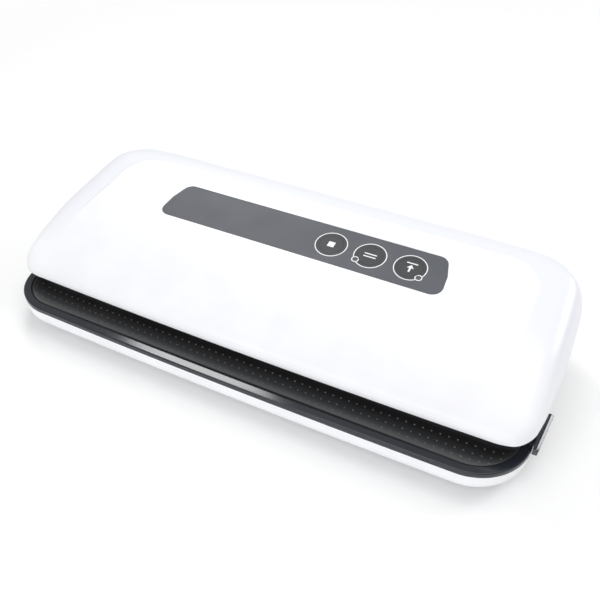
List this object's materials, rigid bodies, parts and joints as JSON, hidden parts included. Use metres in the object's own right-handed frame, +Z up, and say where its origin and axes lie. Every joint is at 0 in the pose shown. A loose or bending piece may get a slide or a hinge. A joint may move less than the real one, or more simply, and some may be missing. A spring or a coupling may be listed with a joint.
{
  "type": "vacuum sealer",
  "caption": "Countertop vacuum sealer: hinged domed lid with control strip, round keys and air pump, on a shallow base with bag tray, vacuum well, heat bar and side release buttons.",
  "frame": {"origin": "bottom centre of the whole object, on the table under the feet", "axes": "+Z up, +X to the user's right, -Y towards the user; lid closed and every button released"},
  "size_m": [0.419, 0.1816, 0.0812],
  "materials": {
    "white_shell": "smooth white with a soft shine",
    "white_bowl": "smooth white",
    "slate_deck": "fine matt dark slate, bright bevel on the rim",
    "slate_grip": "fine matt dark slate",
    "foot_rubber": "matt black",
    "steel_screws": "zinc-plated",
    "bar_black": "black heat-proof resin",
    "ribbon_metal": "flat resistance ribbon",
    "tape_brown": "coated glass cloth",
    "gasket_rubber": "closed foam",
    "board_green": "solder mask",
    "core_steel": "laminated core, varnished",
    "coil_copper": "enamelled copper",
    "switch_black": "moulded",
    "gland_rubber": "matt black",
    "steel_pins": "turned",
    "spring_steel": "drawn wire",
    "liner_grey": "fine matt",
    "hook_plastic": "fine matt",
    "shoe_rubber": "silicone",
    "strip_grey": "fine matt film",
    "key_grey": "fine matt film",
    "lamp_white": "frosted lamp window",
    "motor_steel": "plated can",
    "pump_plastic": "moulded",
    "rotor_steel": "turned",
    "diaphragm_rubber": "moulded",
    "hose_silicone": "milky silicone",
    "port_plastic": "moulded",
    "valve_metal": "solenoid valve can"
  },
  "bodies": {
    "base": {"base_bowl": "white_bowl", "base_deck": "slate_deck", "bag_tray": "slate_deck", "seal_bed": "slate_deck", "base_platform": "slate_deck", "well_tub": "slate_deck", "rubber_feet": "foot_rubber", "base_screws": "steel_screws", "heat_bar": "bar_black", "heating_strip": "ribbon_metal", "ptfe_tape": "tape_brown", "lower_gasket": "gasket_rubber", "power_board": "board_green", "transformer_core": "core_steel", "transformer_coil": "coil_copper", "lid_switches": "switch_black", "cord_gland": "gland_rubber", "hinge_pins": "steel_pins", "release_spring_right": "spring_steel", "release_spring_left": "spring_steel"},
    "lid": {"lid_shell": "white_shell", "lid_liner": "liner_grey", "lid_screws": "steel_screws", "lid_hooks": "hook_plastic", "upper_gasket": "gasket_rubber", "pressure_strip": "shoe_rubber", "control_strip": "strip_grey", "lamp_windows": "lamp_white", "control_board": "board_green", "key_switches": "switch_black", "board_screws": "steel_screws", "pump_motor": "motor_steel", "pump_cradle": "pump_plastic", "pump_case": "pump_plastic", "pump_diaphragm": "diaphragm_rubber", "pump_valve_cap": "pump_plastic", "vacuum_hose": "hose_silicone", "vacuum_port": "port_plastic", "vent_valve": "valve_metal"},
    "key_stop": {"key_stop": "key_grey"},
    "key_seal": {"key_seal": "key_grey"},
    "key_vacuum": {"key_vacuum": "key_grey"},
    "release_right": {"release_button_right": "slate_grip"},
    "release_left": {"release_button_left": "slate_grip"},
    "rotor": {"pump_rotor": "rotor_steel"}
  },
  "joints": [
    {"name": "lid_hinge", "type": "hinge", "parent": "base", "child": "lid", "pos_m": [0, 0.084, 0.033], "axis": [-1, 0, 0], "range_deg": [0, 65]},
    {"name": "key_stop_press", "type": "slide", "parent": "lid", "child": "key_stop", "axis": [0, 0.1685, -0.9857], "range_m": [0, 0.0008], "stiffness_N_per_m": 800, "springref_m": -0.0005},
    {"name": "key_seal_press", "type": "slide", "parent": "lid", "child": "key_seal", "axis": [0, 0.1685, -0.9857], "range_m": [0, 0.0008], "stiffness_N_per_m": 800, "springref_m": -0.0005},
    {"name": "key_vacuum_press", "type": "slide", "parent": "lid", "child": "key_vacuum", "axis": [0, 0.1685, -0.9857], "range_m": [0, 0.0008], "stiffness_N_per_m": 800, "springref_m": -0.0005},
    {"name": "release_right_press", "type": "slide", "parent": "base", "child": "release_right", "axis": [-1, 0, 0], "range_m": [0, 0.003], "stiffness_N_per_m": 1500, "springref_m": -0.002, "deforming": ["release_spring_right"]},
    {"name": "release_left_press", "type": "slide", "parent": "base", "child": "release_left", "axis": [1, 0, 0], "range_m": [0, 0.003], "stiffness_N_per_m": 1500, "springref_m": -0.002, "deforming": ["release_spring_left"]},
    {"name": "pump_spin", "type": "hinge", "parent": "lid", "child": "rotor", "pos_m": [-0.11, 0.05, 0.0543], "axis": [1, 0, 0], "continuous": true, "deforming": ["pump_diaphragm"]}
  ]
}
